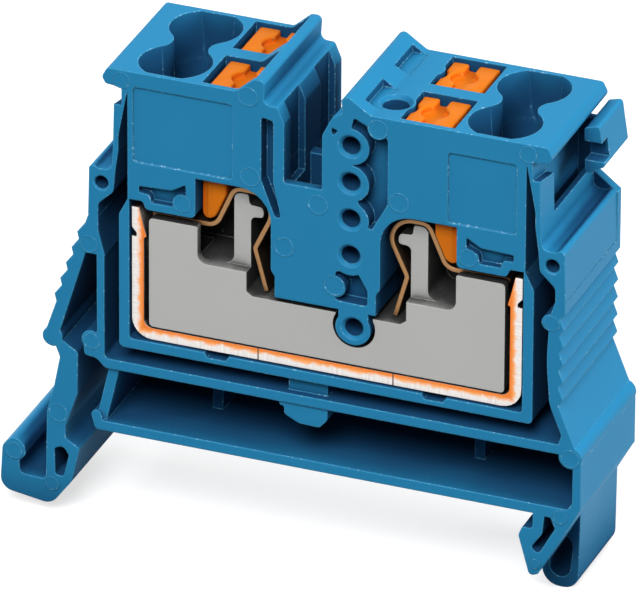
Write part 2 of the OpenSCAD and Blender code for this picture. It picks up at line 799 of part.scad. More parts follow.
// Slanted slot in the left block and pockets of the pillar, all in the open face
module face_pockets() {
    hole_x = pillar_x;
    low_z = first_hole_z - (hole_count - 1) * pin_hole_pitch;
    ring_r = pin_hole_r + 0.72;
    along_y(face_y - cut, face_y + pocket_depth) {
        polygon(rounded([
            [shaft_l - 1.7, top_z - 1.65],
            [shaft_l - 0.8, top_z - 1.85],
            [shaft_l - 0.8, shaft_z - 0.1],
            [shaft_l - 0.2, block_z - 1.85],
            [shaft_l - 0.65, block_z - 1.85],
            [shaft_l - 1.7, shaft_z - 0.1]
        ], 0.2));
        difference() {
            polygon(rounded([
                [hole_x + 0.25, top_z - 0.4],
                [hole_x + 1.4, top_z - 0.95],
                [hole_x + 2.1, top_z - 0.95],
                [hole_x + 2.78, top_z - 1.7],
                [hole_x + 2.78, block_z + 0.75],
                [hole_x + 1.62, block_z - 1.45],
                [hole_x + 0.9, block_z - 1.2],
                [hole_x, block_z + 4],
                [hole_x, top_z - 1.6]
            ], 0.15));
            for (i = [0:hole_count - 2])
                translate([hole_x, first_hole_z - i * pin_hole_pitch]) circle(r = ring_r);
        }
        difference() {
            polygon(rounded([
                [hole_x - 1.05, low_z - 1.35],
                [hole_x + 0.6, low_z - 1.2],
                [hole_x + 1.35, low_z - 2.5],
                [hole_x + 1.35, low_z - 3.7],
                [hole_x - 1.05, low_z - 3.65]
            ], edge_r));
            translate([hole_x - 1.05, low_z - 2.65]) circle(r = 0.75);
            translate([hole_x, low_z]) circle(r = ring_r + 0.1);
        }
        polygon(rounded([
            [hole_x - 1.4, first_hole_z + 1.25],
            [hole_x - 0.9, first_hole_z + 1.05],
            [hole_x - 1.35, first_hole_z + 0.55]
        ], 0.1));
    }
    for (i = [0:hole_count - 1])
        face_hole(hole_x, first_hole_z - i * pin_hole_pitch, pin_hole_r, hole_depth, hole_bevel);
    face_hole(boss.x, boss.y, pin_hole_r, hole_depth, hole_bevel);
}

// Shallow fields in the open face, and the recesses under the blocks
module face_fields() {
    along_y(face_y - cut, face_y + field_depth) {
        polygon(placed(left, rounded([
            [block_out - 0.4, block_z + left_field_rise],
            [left_field_in, block_z + left_field_rise],
            [left_field_in, beak_z + 0.2],
            [block_out - 0.4, beak_z + 0.2]
        ], edge_r)));
        polygon(placed(right, rounded([
            [block_out - 0.7, block_z + edge_r],
            [right_field_in, block_z + edge_r],
            [right_field_in, beak_z - 0.4],
            [block_out - 0.7, beak_z - 0.4]
        ], edge_r)));
    }
    along_y(face_y - cut, face_y + 0.6) for (side = sides) bow_tie_outline(side);
}

// Grooves in the shaft's left wall, pockets in the right ridge, and the test plug hole
module shaft_details() {
    for (row = rows) {
        translate([shaft_l - groove_depth, row * row_y - 1.4, shaft_z + 0.6])
            cube([groove_depth + cut, 2.8, top_z - shaft_z]);
        translate([shaft_r + 2.7, row * row_y - 1.5, top_z - 0.05])
            cube([1.2, 3.45, ridge_h + 1]);
    }
    translate([test_x, -row_y, block_z + 1]) cylinder(r = test_r, h = block_h + ridge_h);
    translate([test_x, -row_y, top_z - 0.3])
        cylinder(r1 = test_r, r2 = test_r + 0.3 + cut, h = 0.3 + cut);
}

// Notches in the trough's floor under the bar
module trough_notches()
    along_y(face_y - cut, floor_y)
        for (side = sides)
            polygon(placed(side, [
                [notch_reach - 1, trough_z + wall + cut],
                [notch_reach - 0.7, trough_z + wall / 2],
                [notch_reach + 0.7, trough_z + wall / 2],
                [notch_reach + 1, trough_z + wall + cut]
            ]));

// Blue moulding that carries everything
module housing()
    color("#2f86b8")
        difference() {
            housing_mass();
            for (side = sides) {
                funnels(side);
                for (row = rows) button_slot(side, row);
                face_hole(at(side, side_out - 1), shoulder_z - 1.05, 0.5, 3, 0.1);
            }
            face_pockets();
            face_fields();
            shaft_details();
            trough_notches();
        }

// Half of the carrier's outline: step, outer plate, and a post with an arm inside the spring
function carrier_half() = [
    [0, carrier_z, 0],
    [carrier_out, carrier_z, 0.3],
    [carrier_out, plate_z, 0.3],
    [plate_in, plate_z],
    [plate_in, step_z, fillet_r],
    [post_out, step_z, fillet_r],
    [post_out, post_z, 1],
    [post_in + 0.2, post_z],
    [post_in + 0.1, arm_z, 0.25],
    [arm_in, arm_z - 0.05, 0.35],
    [arm_in, arm_z - 0.85, 0.25],
    [post_in, arm_z - 0.9, 0.4],
    [post_in, carrier_top + 0.3],
    [post_in - 0.45, carrier_top],
    [0, carrier_top, 0]
];

// Grey insert that holds the springs
module spring_carrier()
    color("#b0b0ae")
        difference() {
            union() {
                along_y(inner_y, floor_y - seat_fit)
                    polygon(both_sides(rounded(carrier_half(), 0.15)));
                along_y(-web_half, web_half)
                    for (side = sides)
                        polygon(placed(side, [
                            [post_in - 1, carrier_top - cut],
                            [plate_in, carrier_top - cut],
                            [plate_in - 0.3, plate_z],
                            [post_out, post_z - 1.4],
                            [post_in - 1, post_z - 1.4]
                        ]));
            }
            for (side = sides) {
                reach_box(side, arm_in - cut, plate_in - fillet_r, inner_y - cut, inner_y + post_set,
                    step_z, post_z + cut);
                reach_box(side, plate_in - 1, carrier_out + cut, inner_y + plate_t, -web_half,
                    step_z, plate_z + cut);
                reach_box(side, plate_in - 1, carrier_out + cut, web_half, floor_y, step_z, plate_z + cut);
                for (row = rows)
                    reach_box(side, plate_in + 0.3, carrier_out + cut,
                        row * row_y - wire_r, row * row_y + wire_r, carrier_z + 1, step_z + cut);
            }
            along_y(inner_y - cut, floor_y) {
                translate(boss) circle(r = boss_r + 2 * seat_fit);
                translate([boss_l - 2 * seat_fit, boss.y])
                    square([boss_w + 4 * seat_fit, carrier_h]);
            }
        }

// Half of the bar's outline, with the ridge on its upright that bites the wire
function bar_half() = [
    [0, bar_z + bar_t, 0],
    [bar_in, bar_z + bar_t, max(bar_bend - bar_t, 0.1)],
    [bar_in, bar_top - 2.35, 0],
    [bar_in - bar_ridge, bar_top - 2.2, 0],
    [bar_in, bar_top - 1.5, 0],
    [bar_in + 0.35, bar_top, 0],
    [bar_out, bar_top, 0],
    [bar_out, bar_top - 1.6, 0],
    [bar_out - 0.35, bar_top - 2, 0],
    [bar_out - 0.35, bar_top - 2.3, 0],
    [bar_out, bar_top - 2.3, 0],
    [bar_out, bar_z, bar_bend],
    [0, bar_z, 0]
];

// Tinned copper bar that joins the two clamps
module current_bar()
    color("#d9d6cf")
        along_y(inner_y, floor_y - seat_fit)
            polygon(both_sides(rounded(bar_half(), 0)));

// Ends of the spring's sloping part, middle of its loop and bend of its foot, as [reach, height]
slope_low = [leg_in + 0.83, leg_z];
slope_high = [post_out, loop_z];
loop_r = 1.55;
loop_hub = [loop_in + loop_r, loop_z - loop_r];
foot_bend = [post_in - 0.12 - spring_t / 2, step_z + 1.5];

// Reach, at a height, of the button's side of the spring's slope, with clearance
function beside_slope(z) =
    let (
        run = unit(slope_high - slope_low),
        start = slope_low + [run.y, -run.x] * (spring_t / 2 + 0.6 * spring_fit)
    )
    start.x + run.x * (z - start.y) / run.y;

// Height at which a reach meets that side
function slope_height(reach) =
    let (rise = 1 / (beside_slope(1) - beside_slope(0)))
    (reach - beside_slope(0)) * rise;

// Points without the first one
function rest(points) = [for (i = [1:len(points) - 1]) points[i]];

// Path of a clamp spring: clamping edge, leg under the button, loop over the post, foot
function spring_path() =
    let (
        away = foot_bend - loop_hub,
        last = atan2(away.y, away.x) + 360 - acos(loop_r / norm(away)),
        loop = [
            for (i = [0:2 * arc_steps])
                let (angle = 90 + (last - 90) * i / (2 * arc_steps))
                loop_hub + loop_r * [cos(angle), sin(angle)]
        ],
        leg = bent([
            [bar_in - bar_ridge - spring_fit, leg_z],
            [slope_low.x, slope_low.y, 1],
            [slope_high.x, slope_high.y, 1],
            loop[0]
        ]),
        foot = bent([
            loop[2 * arc_steps],
            [foot_bend.x, foot_bend.y, 0.5],
            [post_in - 1.15, carrier_top + spring_fit]
        ])
    )
    concat(leg, rest(loop), rest(foot));

// Bent spring strip of one clamp
module clamp_spring(side, row)
    color("#a0713c")
        along_y(row * row_y - spring_w / 2, row * row_y + spring_w / 2)
            polygon(placed(side, strip(spring_path(), spring_t)));

// Outline of a button's leg, with its round tip on the spring
module leg_outline(side)
    polygon(placed(side, rounded([
        [leg_in, head_z + cut, 0],
        [leg_in, slope_height(leg_in)],
        [beside_slope(button_tip), button_tip, 0.7],
        [leg_out, button_tip],
        [leg_out, ledge_z - 0.9],
        [leg_neck, ledge_z - 0.4],
        [leg_neck, head_z + cut, 0]
    ], 0.5)));

// Plan of a button's leg, with its outer edges bevelled
module leg_plan(side, y)
    polygon([
        for (p = [
            [leg_in - cut, -leg_w / 2],
            [leg_out - leg_bevel.x, -leg_w / 2],
            [leg_out, leg_bevel.y - leg_w / 2],
            [leg_out, leg_w / 2 - leg_bevel.y],
            [leg_out - leg_bevel.x, leg_w / 2],
            [leg_in - cut, leg_w / 2]
        ]) [at(side, p.x), y + p.y]
    ]);

// Orange push button: head with a channel for a screwdriver, and a leg down to the spring
module push_button(side, row)
    color("#f5871f") {
        y = row * row_y;
        channel_reach = head_in + 1.55;
        intersection() {
            along_y(y - leg_w / 2, y + leg_w / 2) leg_outline(side);
            translate([0, 0, button_tip - 1]) linear_extrude(head_z - button_tip + 2) leg_plan(side, y);
        }
        difference() {
            reach_box(side, head_in, head_out, y - head_l / 2, y + head_l / 2, head_z, button_top);
            translate([at(side, nose_reach), y, head_z - cut])
                cylinder(r = nose_r + slide_fit, h = head_h + 2 * cut);
            translate([at(side, channel_reach), y, button_top - channel_depth])
                cylinder(r = 0.95, h = channel_depth + cut);
            reach_box(side, channel_reach - 0.35, channel_reach + 0.4, y - head_l, y + head_l,
                button_top - channel_depth, button_top + cut);
        }
    }

housing();
spring_carrier();
current_bar();
clamp_spring(left, front_row);  // clamp_spring_left_front
clamp_spring(left, rear_row);  // clamp_spring_left_rear
clamp_spring(right, front_row);  // clamp_spring_right_front
clamp_spring(right, rear_row);  // clamp_spring_right_rear
push_button(left, front_row);  // button_left_front
push_button(left, rear_row);  // button_left_rear
push_button(right, front_row);  // button_right_front
push_button(right, rear_row);  // button_right_rear
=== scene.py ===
# %% [markdown]
# # A terminal block, open on one face
# The solids come from the CAD model: a blue moulded housing, a grey carrier, a tinned copper bar, four
# spring strips and four orange buttons. This script dresses them. The carrier and the bar keep their solids
# and get a finish made of nodes. Copies stand for the housing and the buttons: two pockets are cut into the
# housing, and the buttons get round edges. The springs are swept again, and the small marks that moulding
# leaves are laid on top.

# %% Load the frame
import math

import bmesh
import bpy
from mathutils import Matrix, Vector


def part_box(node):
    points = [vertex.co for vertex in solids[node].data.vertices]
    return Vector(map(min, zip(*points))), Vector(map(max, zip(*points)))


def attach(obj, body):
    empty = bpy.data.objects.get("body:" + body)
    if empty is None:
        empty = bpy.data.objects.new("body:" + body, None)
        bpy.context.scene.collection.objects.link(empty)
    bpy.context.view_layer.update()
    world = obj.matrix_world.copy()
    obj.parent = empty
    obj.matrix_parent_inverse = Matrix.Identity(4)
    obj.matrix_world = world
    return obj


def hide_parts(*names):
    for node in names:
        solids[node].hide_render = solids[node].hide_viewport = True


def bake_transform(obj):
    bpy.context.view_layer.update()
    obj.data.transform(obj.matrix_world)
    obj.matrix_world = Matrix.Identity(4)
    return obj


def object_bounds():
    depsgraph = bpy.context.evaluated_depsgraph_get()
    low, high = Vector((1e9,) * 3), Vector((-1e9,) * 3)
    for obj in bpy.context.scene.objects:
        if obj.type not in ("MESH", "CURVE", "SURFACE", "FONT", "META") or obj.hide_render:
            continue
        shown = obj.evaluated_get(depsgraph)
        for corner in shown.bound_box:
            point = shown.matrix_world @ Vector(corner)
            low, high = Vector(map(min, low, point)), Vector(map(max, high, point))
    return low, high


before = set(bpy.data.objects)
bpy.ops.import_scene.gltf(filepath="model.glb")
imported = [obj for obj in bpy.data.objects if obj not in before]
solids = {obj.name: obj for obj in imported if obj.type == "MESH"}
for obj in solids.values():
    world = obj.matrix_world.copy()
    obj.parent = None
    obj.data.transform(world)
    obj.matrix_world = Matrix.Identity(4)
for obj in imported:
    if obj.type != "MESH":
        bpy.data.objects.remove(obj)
cad_box = [list(corner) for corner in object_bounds()]
MM = 0.001
print("solids:", ", ".join(sorted(solids)))

# %% [markdown]
# ## Where things are
# A finish that follows the shape, such as bare copper along a cut edge, needs a few of the block's own
# sizes. They are the CAD model's values in millimetres, and anything that can be read from a solid's
# box is read from there.

# %% Sizes of the block
MIDDLE_X = 2.05        # plane between the two clamps
FACE_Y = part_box("housing")[0].y / MM
BAR_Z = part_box("current_bar")[0].z / MM
BAR_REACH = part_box("current_bar")[1].x / MM - MIDDLE_X
BAR_THICK = 0.88
print(f"open face at y = {FACE_Y:.2f} mm, bar from z = {BAR_Z:.2f} mm, {BAR_REACH:.2f} mm to each side")

# %% [markdown]
# ## Camera
# The photograph was taken from a little to the right of the open face and well above it, with a very
# long lens, so edges that run the same way stay almost parallel. A Track To constraint could aim the
# camera, but it can't tip it by the third of a degree that is needed here. So the camera is placed by the
# point it looks at, three angles and a distance, and its three axes make the matrix.

# %% Camera at the photograph's place
CAMERA_TARGET = Vector((1.678, -5.45, 13.562)) * MM
CAMERA_AZIMUTH, CAMERA_ELEVATION, CAMERA_ROLL = 21.3, 27.93, 0.31    # degrees
CAMERA_DISTANCE = 0.9281                                             # metres
CAMERA_LENS, SENSOR_WIDTH = 753.75, 36                               # millimetres
NEAREST, FARTHEST = 0.01, 20                                         # what the camera sees, in metres

def direction(azimuth, elevation):
    """Points from the block to something round it; azimuth 0 is in front of the open face."""
    turn = math.radians(azimuth)
    rise = math.radians(elevation)
    return Vector((math.sin(turn) * math.cos(rise), -math.cos(turn) * math.cos(rise), math.sin(rise)))

def placed(name, data):
    obj = bpy.data.objects.new(name, data)
    bpy.context.collection.objects.link(obj)
    return obj

def aim_camera():
    tip = math.radians(CAMERA_ROLL)
    back = direction(CAMERA_AZIMUTH, CAMERA_ELEVATION)
    level = direction(CAMERA_AZIMUTH + 90, 0)
    over = back.cross(level)
    right = math.cos(tip) * level + math.sin(tip) * over
    up = math.cos(tip) * over - math.sin(tip) * level
    axes = Matrix((right, up, back)).transposed().to_4x4()
    camera = placed("camera", bpy.data.cameras.new("camera"))
    camera.matrix_world = Matrix.Translation(CAMERA_TARGET + back * CAMERA_DISTANCE) @ axes
    camera.data.lens = CAMERA_LENS
    camera.data.sensor_width = SENSOR_WIDTH
    camera.data.clip_start = NEAREST
    camera.data.clip_end = FARTHEST
    bpy.context.scene.camera = camera
    return camera

camera = aim_camera()
print("camera at", [round(value, 4) for value in camera.location])

# %% [markdown]
# ## Floor
# The block stands on a plain pale sheet. A sheet as bright as the picture's would fill the hollows of the
# block from below. So for the light that it throws back the sheet is darker, and to the camera, and in what
# glossy faces mirror, it is paler and glows a little as well. The Light Path node tells the two apart. The
# sheet is then white in the picture, and the block's shadow stays on it.

# %% White paper
WHITE = (1, 1, 1)
PAPER_SEEN = (0.5, 0.5, 0.5)
PAPER_UNSEEN = (0.16, 0.16, 0.16)
PAPER_GLOW = 0.62

def node(tree, kind, inputs=None, **settings):
    """Adds a node; each given input is linked to a socket, or set to a number, colour or text."""
    made = tree.nodes.new(kind)
    for name, value in settings.items():
        setattr(made, name, value)
    for key, value in (inputs or {}).items():
        socket = made.inputs[key]
        if isinstance(value, bpy.types.NodeSocket):
            tree.links.new(value, socket)
        elif socket.type == "RGBA":
            socket.default_value = (*value, 1)
        else:
            socket.default_value = value
    return made

def seen_share(tree):
    """1 for what is seen directly, mirrored or through glass, 0 for the light thrown on the block."""
    path = node(tree, "ShaderNodeLightPath")
    share = path.outputs["Is Camera Ray"]
    for ray in ("Is Glossy Ray", "Is Transmission Ray"):
        either = node(tree, "ShaderNodeMath", {0: share, 1: path.outputs[ray]}, operation="MAXIMUM")
        share = either.outputs[0]
    return share

def white_paper():
    material = bpy.data.materials.new("white_paper")
    material.use_nodes = True
    tree = material.node_tree
    tree.nodes.clear()
    seen = seen_share(tree)
    tone = node(tree, "ShaderNodeMix", {0: seen, 6: PAPER_UNSEEN, 7: PAPER_SEEN}, data_type="RGBA")
    sheet = node(tree, "ShaderNodeBsdfDiffuse", {"Color": tone.outputs[2]})
    strength = node(tree, "ShaderNodeMath", {0: seen, 1: PAPER_GLOW}, operation="MULTIPLY")
    glow = node(tree, "ShaderNodeEmission", {"Color": WHITE, "Strength": strength.outputs[0]})
    both = node(tree, "ShaderNodeAddShader", {0: sheet.outputs[0], 1: glow.outputs[0]})
    node(tree, "ShaderNodeOutputMaterial", {"Surface": both.outputs[0]})
    return material

paper = white_paper()
print("floor finish:", paper.name)

# %% Floor
FLOOR_HALF = 3.0       # metres from the middle to a side

def make_floor(z):
    far = FLOOR_HALF
    corners = [(-far, -far, z), (far, -far, z), (far, far, z), (-far, far, z)]
    mesh = bpy.data.meshes.new("floor")
    mesh.from_pydata(corners, [], [(0, 1, 2, 3)])
    mesh.materials.append(paper)
    floor = placed("floor", mesh)
    return floor

floor = make_floor(cad_box[0][2])
print(floor.name, "at z =", round(cad_box[0][2] / MM, 2), "mm")

# %% [markdown]
# ## Light
# Four large soft lamps stand round the block; small ones would draw hard shadows that the photograph
# doesn't have. The strongest is high in front: it lights the top faces more than the open face, and the
# ceilings of the hollows keep it out of them. The others stand low on the right, behind and on the left, and
# each lights the sides that face it. These three throw no glare, because the flat faces of the block would
# mirror them as pale patches. The world is faint grey, which keeps the dark places from going black, but
# what a glossy face mirrors of it is the white backdrop of the studio.

# %% Lamps and world
LAMP_AIM = Vector((0, 0, 12)) * MM
LAMP_DISTANCE = 0.7    # metres
# azimuth and elevation in degrees, size in metres, power in watts, and whether it throws glare
LAMPS = {
    "key_lamp": (8, 48, 0.4, 5.5, True),
    "right_lamp": (94, 26, 0.4, 4.0, False),
    "back_lamp": (186, 12, 0.5, 4.0, False),
    "left_lamp": (268, 12, 0.5, 2.8, False)}
WORLD_FILL = 0.13

def soft_lamp(name, azimuth, elevation, size, power, glare):
    towards = direction(azimuth, elevation)
    lamp = placed(name, bpy.data.lights.new(name, "AREA"))
    lamp.data.shape = "DISK"
    lamp.data.size = size
    lamp.data.energy = power
    lamp.location = LAMP_AIM + towards * LAMP_DISTANCE
    lamp.rotation_euler = (-towards).to_track_quat("-Z", "Y").to_euler()
    lamp.visible_glossy = glare

def studio_world():
    world = bpy.data.worlds.new("studio")
    world.use_nodes = True
    tree = world.node_tree
    backdrop = tree.nodes["Background"]
    backdrop.inputs["Color"].default_value = (*WHITE, 1)
    level = node(tree, "ShaderNodeMapRange", {"Value": seen_share(tree), "To Min": WORLD_FILL, "To Max": 1.0})
    tree.links.new(level.outputs["Result"], backdrop.inputs["Strength"])
    return world

for name, values in LAMPS.items():
    soft_lamp(name, *values)
bpy.context.scene.world = studio_world()
bpy.context.scene.view_settings.view_transform = "Standard"
print("lamps:", [lamp.name for lamp in bpy.data.lights])

# %% [markdown]
# ## Moulded plastic
# The housing, the carrier and the buttons are injection moulded polyamide. Such a surface isn't one flat
# colour: the pigment drifts a little where the melt flowed, a fine spark-eroded grain breaks up the gloss,
# and every edge has a small radius that catches the light. Rounding every edge of the mesh would take a
# great many faces, so the Bevel node gives that radius to the shading alone. Comparing its normal with the
# face's own tells where the edges are, and there the colour is made lighter, a painted highlight, with paler
# specks of painted highlight along them.
#
# Little light gets out of the hollows of a moulding, so the colour there is painted darker, a painted shade.
# The Ambient Occlusion node measures how closed in a point is. Over some millimetres it finds the hollows,
# which get painted shade in their colour and go duller, and over about one millimetre it finds the narrow
# crevices, which get painted shade as well.

# %% Helpers for finishes
def new_finish(name):
    """A new material, with its tree, its shader and the place of each point on the piece."""
    material = bpy.data.materials.new(name)
    material.use_nodes = True
    tree = material.node_tree
    place = node(tree, "ShaderNodeTexCoord").outputs["Object"]
    return material, tree, tree.nodes["Principled BSDF"], place

def sum_of(tree, operation, *values):
    return node(tree, "ShaderNodeMath", dict(enumerate(values)), operation=operation).outputs[0]

def blended(tree, share, first, second):
    return node(tree, "ShaderNodeMix", {0: share, 6: first, 7: second}, data_type="RGBA").outputs[2]

def ramp(tree, value, start, end, low=0.0, high=1.0, kind="SMOOTHSTEP"):
    sizes = {"Value": value, "From Min": start, "From Max": end, "To Min": low, "To Max": high}
    return node(tree, "ShaderNodeMapRange", sizes, interpolation_type=kind).outputs["Result"]

def noise(tree, vector, scale, detail):
    sizes = {"Scale": scale, "Detail": detail, "Vector": vector}
    return node(tree, "ShaderNodeTexNoise", sizes).outputs["Fac"]

def openness(tree, reach):
    """How free of walls the space round a point is, from 0 to 1."""
    return node(tree, "ShaderNodeAmbientOcclusion", {"Distance": reach}, samples=8).outputs["AO"]

def edge_normal(tree, radius):
    return node(tree, "ShaderNodeBevel", {"Radius": radius}, samples=6).outputs["Normal"]

def face_normal(tree):
    return node(tree, "ShaderNodeNewGeometry").outputs["True Normal"]

def bumped(tree, height, strength, depth, normal):
    sizes = {"Height": height, "Strength": strength, "Distance": depth, "Normal": normal}
    return node(tree, "ShaderNodeBump", sizes).outputs["Normal"]

print("helpers for finishes: sums, blends, ramps, noise, openness, edges and bumps")

# %% Plastic finish
FLOW_SCALE, SPECKLE_SCALE, GRAIN_SCALE = 160, 4200, 9000     # cells of the noise to a metre
HOLLOW_OPEN = (0.82, 0.4)                                  # openness where a hollow starts, and is full
CREVICE_OPEN, CREVICE_REACH, CREVICE_SHADE = (0.8, 0.35), 1.2 * MM, 0.75
EDGE_TURN = (0.995, 0.8)                                   # cosine where an edge starts, and is full
EDGE_HIGHLIGHT_SHARE = 0.6
SPECK_NOISE = (0.6, 0.7)
GLOSS_DRIFT, HOLLOW_DULLS = 0.08, 0.4                      # changes of roughness
GRAIN_STRENGTH, GRAIN_DEPTH = 0.12, 0.02 * MM
PLASTIC_SPECULAR = 0.12

def moulded_plastic(name, colour, drift, painted_edge_highlight, painted_speck_highlight, painted_hollow_shade,
                    hollow_reach, roughness, edge_radius):
    material, tree, shader, place = new_finish(name)
    flow = noise(tree, place, FLOW_SCALE, detail=4)
    drifted = blended(tree, flow, colour, drift)

    # Painted shade: the colour goes darker in the hollows and the crevices.
    hollow = ramp(tree, openness(tree, hollow_reach), *HOLLOW_OPEN)
    crevice = ramp(tree, openness(tree, CREVICE_REACH), *CREVICE_OPEN, high=CREVICE_SHADE)
    shaded = blended(tree, sum_of(tree, "MAXIMUM", hollow, crevice), drifted, painted_hollow_shade)

    # Painted highlight: the colour goes lighter along every edge, with paler specks on the edges.
    rounded = edge_normal(tree, edge_radius)
    turned = node(tree, "ShaderNodeVectorMath", {0: rounded, 1: face_normal(tree)}, operation="DOT_PRODUCT")
    edge = ramp(tree, turned.outputs["Value"], *EDGE_TURN, kind="LINEAR")
    highlighted_edges = blended(tree, sum_of(tree, "MULTIPLY", edge, EDGE_HIGHLIGHT_SHARE), shaded, painted_edge_highlight)
    speckle = noise(tree, place, SPECKLE_SCALE, detail=1)
    speck = ramp(tree, speckle, *SPECK_NOISE, kind="LINEAR")
    flecked = blended(tree, sum_of(tree, "MULTIPLY", speck, edge), highlighted_edges, painted_speck_highlight)
    tree.links.new(flecked, shader.inputs["Base Color"])

    gloss = ramp(tree, flow, 0, 1, roughness - GLOSS_DRIFT, roughness + GLOSS_DRIFT, kind="LINEAR")
    dulled = sum_of(tree, "MULTIPLY_ADD", hollow, HOLLOW_DULLS, gloss)
    tree.links.new(dulled, shader.inputs["Roughness"])
    grain = noise(tree, place, GRAIN_SCALE, detail=2)
    pitted = bumped(tree, grain, GRAIN_STRENGTH, GRAIN_DEPTH, rounded)
    tree.links.new(pitted, shader.inputs["Normal"])
    shader.inputs["Specular IOR Level"].default_value = PLASTIC_SPECULAR
    return material

print(f"plastic grain: {1 / GRAIN_SCALE / MM:.2f} mm, flow: {1 / FLOW_SCALE / MM:.1f} mm")

# %% The three plastics
def dress(name, material):
    solid = solids[name]
    solid.data.materials.clear()
    solid.data.materials.append(material)

blue_plastic = moulded_plastic(
    "blue_plastic", colour=(0.013, 0.184, 0.365), drift=(0.018, 0.207, 0.398),
    painted_edge_highlight=(0.07, 0.38, 0.65), painted_speck_highlight=(0.36, 0.66, 0.86), painted_hollow_shade=(0.006, 0.05, 0.13),
    hollow_reach=8 * MM, roughness=0.52, edge_radius=0.16 * MM)
grey_plastic = moulded_plastic(
    "grey_plastic", colour=(0.44, 0.44, 0.43), drift=(0.475, 0.475, 0.46),
    painted_edge_highlight=(0.56, 0.56, 0.54), painted_speck_highlight=(0.7, 0.7, 0.68), painted_hollow_shade=(0.026, 0.026, 0.026),
    hollow_reach=5 * MM, roughness=0.5, edge_radius=0.09 * MM)
orange_plastic = moulded_plastic(
    "orange_plastic", colour=(0.62, 0.15, 0.003), drift=(0.68, 0.175, 0.005),
    painted_edge_highlight=(0.74, 0.25, 0.03), painted_speck_highlight=(0.8, 0.4, 0.1), painted_hollow_shade=(0.64, 0.11, 0.003),
    hollow_reach=5 * MM, roughness=0.45, edge_radius=0.12 * MM)
dress("housing", blue_plastic)
dress("spring_carrier", grey_plastic)
print("plastic finishes:", blue_plastic.name, grey_plastic.name, orange_plastic.name)

# %% [markdown]
# ## Pockets of the bridge shaft
# A plug-in bridge joins this block to the one beside it: its prongs go down between the two upper blocks
# into two pockets, one behind the other, with a web between them. The CAD housing has a plain floor there,
# so a copy of it is cut. Its triangles are merged to a closed shell first, and then one Boolean modifier
# takes away each box. Cutting loses the normals of the solid, so edges are marked sharp by their angle,
# and the Weighted Normal modifier lets large flat faces decide how their corners are shaded.

# %% Boxes to cut with
SHAFT_LEFT, SHAFT_RIGHT = -1.03, 1.75
SHAFT_FLOOR = 22.15
POCKET_FLOOR = 16.0
POCKET_ENDS = ((-4.8, -0.45), (0.45, 4.6))       # along y: in front of the web and behind it
POCKET_OVER = 0.45                               # how far a pocket's cut starts above the floor
GROOVE_ENDS = ((-4.21, -1.45), (1.45, 4.21))     # the grooves of the left wall run on into the pockets
GROOVE_LEFT, GROOVE_FLOOR = -1.54, 21.3
GROOVE_OVER, GROOVE_INTO_SHAFT = 0.75, 0.05      # so that no face of a cut lies on a face of the shaft

def cut_box(low, high):
    low = Vector(low)
    high = Vector(high)
    mesh = bpy.data.meshes.new("cut")
    shell = bmesh.new()
    corners = bmesh.ops.create_cube(shell, size=1)["verts"]
    bmesh.ops.scale(shell, vec=(high - low) * MM, verts=corners)
    bmesh.ops.translate(shell, vec=(high + low) / 2 * MM, verts=corners)
    shell.to_mesh(mesh)
    shell.free()
    return placed("cut", mesh)

def shaft_cuts():
    cuts = []
    for front, rear in POCKET_ENDS:
        cuts.append(cut_box((SHAFT_LEFT, front, POCKET_FLOOR),
                            (SHAFT_RIGHT, rear, SHAFT_FLOOR + POCKET_OVER)))
    for front, rear in GROOVE_ENDS:
        cuts.append(cut_box((GROOVE_LEFT, front, GROOVE_FLOOR),
                            (SHAFT_LEFT + GROOVE_INTO_SHAFT, rear, SHAFT_FLOOR + GROOVE_OVER)))
    return cuts

cuts = shaft_cuts()
print("cuts:", len(cuts))

# %% Housing with the two pockets
HOUSING_MERGE = 1e-6   # metres
HOUSING_CREASE = 28    # degrees between two faces that count as a sharp edge

def merged_copy(name, reach):
    """A copy of a solid's mesh, and a shell in which its loose triangles are joined."""
    mesh = solids[name].data.copy()
    shell = bmesh.new()
    shell.from_mesh(mesh)
    bmesh.ops.remove_doubles(shell, verts=shell.verts, dist=reach)
    return mesh, shell

def evaluated(obj):
    """A plain mesh of what an object's modifiers make of it."""
    return bpy.data.meshes.new_from_object(obj.evaluated_get(bpy.context.evaluated_depsgraph_get()))

def cover(mesh, material):
    mesh.materials.clear()
    mesh.materials.append(material)
    for face in mesh.polygons:
        face.use_smooth = True
        face.material_index = 0

def pocketed_housing():
    mesh, shell = merged_copy("housing", HOUSING_MERGE)
    open_edges = sum(not edge.is_manifold for edge in shell.edges)
    shell.to_mesh(mesh)
    shell.free()
    for label in ("custom_normal", "sharp_edge", "sharp_face"):
        if label in mesh.attributes:
            mesh.attributes.remove(mesh.attributes[label])
    piece = placed("moulded_housing", mesh)
    for box in cuts:
        cut = piece.modifiers.new("cut", "BOOLEAN")
        cut.operation = "DIFFERENCE"
        cut.solver = "EXACT"
        cut.object = box
    piece.data = evaluated(piece)
    piece.modifiers.clear()
    for box in cuts:
        bpy.data.objects.remove(box)
    cover(piece.data, blue_plastic)
    piece.data.set_sharp_from_angle(angle=math.radians(HOUSING_CREASE))
    shading = piece.modifiers.new("shading", "WEIGHTED_NORMAL")
    shading.keep_sharp = True
    piece.data = evaluated(piece)
    piece.modifiers.clear()
    piece.data.name = "moulded_housing"
    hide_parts("housing")
    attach(piece, "housing_body")
    print("housing:", open_edges, "open edges before the cuts,", len(piece.data.polygons), "faces after")

pocketed_housing()
